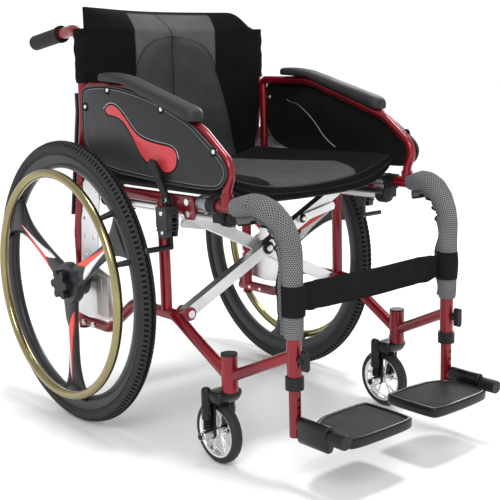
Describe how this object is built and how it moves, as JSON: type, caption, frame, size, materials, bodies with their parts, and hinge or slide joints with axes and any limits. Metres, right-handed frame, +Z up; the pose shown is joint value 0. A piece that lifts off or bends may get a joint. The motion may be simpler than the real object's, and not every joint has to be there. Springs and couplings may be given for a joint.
{
  "type": "manual wheelchair",
  "caption": "Folding self-propelled wheelchair with mag rear wheels, hand rims, sprung casters, lift-out armrests, brakes and flip-up footplates.",
  "frame": {"origin": "on the floor at the middle of the footprint, in the plane of symmetry", "axes": "+Z up, the chair faces -Y, +X to the seated person's left"},
  "size_m": [0.703, 1.0329, 0.878],
  "materials": {
    "red_paint": "glossy metallic wine-red paint",
    "grip_rubber": "matt moulded rubber",
    "black_plastic": "satin moulded plastic",
    "bolt_steel": "bright plated steel",
    "plate_aluminium": "satin silver",
    "tyre_rubber": "matt black rubber",
    "wheel_plastic": "satin black, with red and white wedges on the spokes",
    "hand_rim_metal": "polished champagne anodising",
    "black_metal": "satin black coating",
    "caster_alloy": "polished",
    "pad_foam": "matt skin on foam",
    "panel_plastic": "finely textured, with a red textured inlay",
    "mesh_fabric": "grey open mesh",
    "bar_aluminium": "polished",
    "seat_fabric": "black fabric with a grey mesh panel",
    "back_fabric": "black fabric with a grey mesh panel",
    "strap_webbing": "black woven webbing"
  },
  "bodies": {
    "right_frame": {"right_side_frame": "red_paint", "right_push_grip": "grip_rubber", "right_frame_plugs": "black_plastic", "right_frame_bolts": "bolt_steel", "right_axle_plate": "plate_aluminium", "right_axle_block": "plate_aluminium", "right_release_axle": "black_plastic", "right_rear_strip": "black_plastic", "right_brake_body": "black_plastic", "right_seat_saddles": "black_plastic", "right_leg_sleeve": "mesh_fabric", "seat_cushion": "seat_fabric", "back_upholstery": "back_fabric", "calf_strap": "strap_webbing"},
    "right_cross": {"right_cross_bar": "bar_aluminium", "cross_bolt": "bolt_steel"},
    "right_rear_wheel": {"right_tyre": "tyre_rubber", "right_wheel": "wheel_plastic", "right_hand_rim": "hand_rim_metal"},
    "right_fork": {"right_caster_fork": "black_metal", "right_caster_springs": "black_metal"},
    "right_caster_carrier": {"right_caster_axle": "bolt_steel"},
    "right_caster": {"right_caster_wheel": "caster_alloy", "right_caster_tyre": "tyre_rubber"},
    "right_armrest": {"right_arm_tube": "red_paint", "right_arm_pad": "pad_foam", "right_side_panel": "panel_plastic"},
    "right_brake_handle": {"right_brake_lever": "grip_rubber"},
    "right_brake_arm": {"right_brake_shoe": "black_metal"},
    "right_footrest": {"right_footrest_tube": "red_paint"},
    "right_foot_plate": {"right_footplate": "black_plastic"},
    "right_knob": {"right_wing_knob": "black_plastic"},
    "left_frame": {"left_side_frame": "red_paint", "left_push_grip": "grip_rubber", "left_frame_plugs": "black_plastic", "left_frame_bolts": "bolt_steel", "left_axle_plate": "plate_aluminium", "left_axle_block": "plate_aluminium", "left_release_axle": "black_plastic", "left_rear_strip": "black_plastic", "left_brake_body": "black_plastic", "left_seat_saddles": "black_plastic", "left_leg_sleeve": "mesh_fabric"},
    "left_cross": {"left_cross_bar": "bar_aluminium"},
    "left_rear_wheel": {"left_tyre": "tyre_rubber", "left_wheel": "wheel_plastic", "left_hand_rim": "hand_rim_metal"},
    "left_fork": {"left_caster_fork": "black_metal", "left_caster_springs": "black_metal"},
    "left_caster_carrier": {"left_caster_axle": "bolt_steel"},
    "left_caster": {"left_caster_wheel": "caster_alloy", "left_caster_tyre": "tyre_rubber"},
    "left_armrest": {"left_arm_tube": "red_paint", "left_arm_pad": "pad_foam", "left_side_panel": "panel_plastic"},
    "left_brake_handle": {"left_brake_lever": "grip_rubber"},
    "left_brake_arm": {"left_brake_shoe": "black_metal"},
    "left_footrest": {"left_footrest_tube": "red_paint"},
    "left_foot_plate": {"left_footplate": "black_plastic"},
    "left_knob": {"left_wing_knob": "black_plastic"}
  },
  "joints": [
    {"name": "cross_fold", "type": "hinge", "parent": "right_frame", "child": "right_cross", "pos_m": [-0.214, -0.076, 0.272], "axis": [0, -1, 0], "range_deg": [0, 42], "deforming": ["seat_cushion", "back_upholstery", "calf_strap"]},
    {"name": "cross_centre", "type": "hinge", "parent": "right_cross", "child": "left_cross", "pos_m": [0, -0.0655, 0.376], "axis": [0, -1, 0], "range_deg": [-84, 0]},
    {"name": "left_frame_pivot", "type": "hinge", "parent": "left_cross", "child": "left_frame", "pos_m": [0.214, -0.055, 0.272], "axis": [0, -1, 0], "range_deg": [0, 42]},
    {"name": "right_wheel_spin", "type": "hinge", "parent": "right_frame", "child": "right_rear_wheel", "pos_m": [-0.305, 0.2115, 0.305], "axis": [1, 0, 0], "continuous": true},
    {"name": "right_caster_swivel", "type": "hinge", "parent": "right_frame", "child": "right_fork", "pos_m": [-0.236, -0.2365, 0.18], "axis": [0, 0, 1], "continuous": true},
    {"name": "right_caster_suspension", "type": "slide", "parent": "right_fork", "child": "right_caster_carrier", "axis": [0, 0, 1], "range_m": [0, 0.012], "stiffness_N_per_m": 8000, "springref_m": -0.01, "deforming": ["right_caster_springs"]},
    {"name": "right_caster_spin", "type": "hinge", "parent": "right_caster_carrier", "child": "right_caster", "pos_m": [-0.236, -0.1995, 0.0625], "axis": [1, 0, 0], "continuous": true},
    {"name": "right_armrest_lift", "type": "slide", "parent": "right_frame", "child": "right_armrest", "axis": [0, 0, 1], "range_m": [0, 0.2]},
    {"name": "right_brake_lever_turn", "type": "hinge", "parent": "right_frame", "child": "right_brake_handle", "pos_m": [-0.272, -0.0965, 0.5075], "axis": [1, 0, 0], "range_deg": [0, 50]},
    {"name": "right_brake_shoe_turn", "type": "hinge", "parent": "right_frame", "child": "right_brake_arm", "pos_m": [-0.268, -0.1065, 0.47], "axis": [1, 0, 0], "range_deg": [0, 36]},
    {"name": "right_footrest_slide", "type": "slide", "parent": "right_frame", "child": "right_footrest", "axis": [0, 0, 1], "range_m": [-0.04, 0]},
    {"name": "right_footplate_flip", "type": "hinge", "parent": "right_footrest", "child": "right_foot_plate", "pos_m": [-0.212, -0.4415, 0.121], "axis": [0, -1, 0], "range_deg": [0, 75.6]},
    {"name": "right_wing_knob_turn", "type": "hinge", "parent": "right_frame", "child": "right_knob", "pos_m": [-0.212, -0.4135, 0.245], "axis": [0, 1, 0], "range_deg": [0, 360]},
    {"name": "left_wheel_spin", "type": "hinge", "parent": "left_frame", "child": "left_rear_wheel", "pos_m": [0.305, 0.2115, 0.305], "axis": [1, 0, 0], "continuous": true},
    {"name": "left_caster_swivel", "type": "hinge", "parent": "left_frame", "child": "left_fork", "pos_m": [0.236, -0.2365, 0.18], "axis": [0, 0, 1], "continuous": true},
    {"name": "left_caster_suspension", "type": "slide", "parent": "left_fork", "child": "left_caster_carrier", "axis": [0, 0, 1], "range_m": [0, 0.012], "stiffness_N_per_m": 8000, "springref_m": -0.01, "deforming": ["left_caster_springs"]},
    {"name": "left_caster_spin", "type": "hinge", "parent": "left_caster_carrier", "child": "left_caster", "pos_m": [0.236, -0.1995, 0.0625], "axis": [1, 0, 0], "continuous": true},
    {"name": "left_armrest_lift", "type": "slide", "parent": "left_frame", "child": "left_armrest", "axis": [0, 0, 1], "range_m": [0, 0.2]},
    {"name": "left_brake_lever_turn", "type": "hinge", "parent": "left_frame", "child": "left_brake_handle", "pos_m": [0.272, -0.0965, 0.5075], "axis": [1, 0, 0], "range_deg": [0, 50]},
    {"name": "left_brake_shoe_turn", "type": "hinge", "parent": "left_frame", "child": "left_brake_arm", "pos_m": [0.268, -0.1065, 0.47], "axis": [1, 0, 0], "range_deg": [0, 36]},
    {"name": "left_footrest_slide", "type": "slide", "parent": "left_frame", "child": "left_footrest", "axis": [0, 0, 1], "range_m": [-0.04, 0]},
    {"name": "left_footplate_flip", "type": "hinge", "parent": "left_footrest", "child": "left_foot_plate", "pos_m": [0.212, -0.4415, 0.121], "axis": [0, 1, 0], "range_deg": [0, 75.6]},
    {"name": "left_wing_knob_turn", "type": "hinge", "parent": "left_frame", "child": "left_knob", "pos_m": [0.212, -0.4135, 0.245], "axis": [0, 1, 0], "range_deg": [0, 360]}
  ],
  "couplings": [
    {"joint": "cross_centre", "follows": "cross_fold", "ratio": -2},
    {"joint": "left_frame_pivot", "follows": "cross_fold", "ratio": 1},
    {"joint": "right_footplate_flip", "follows": "cross_fold", "ratio": 1.8},
    {"joint": "left_footplate_flip", "follows": "cross_fold", "ratio": 1.8},
    {"joint": "right_brake_shoe_turn", "follows": "right_brake_lever_turn", "ratio": 0.72},
    {"joint": "left_brake_shoe_turn", "follows": "left_brake_lever_turn", "ratio": 0.72}
  ]
}
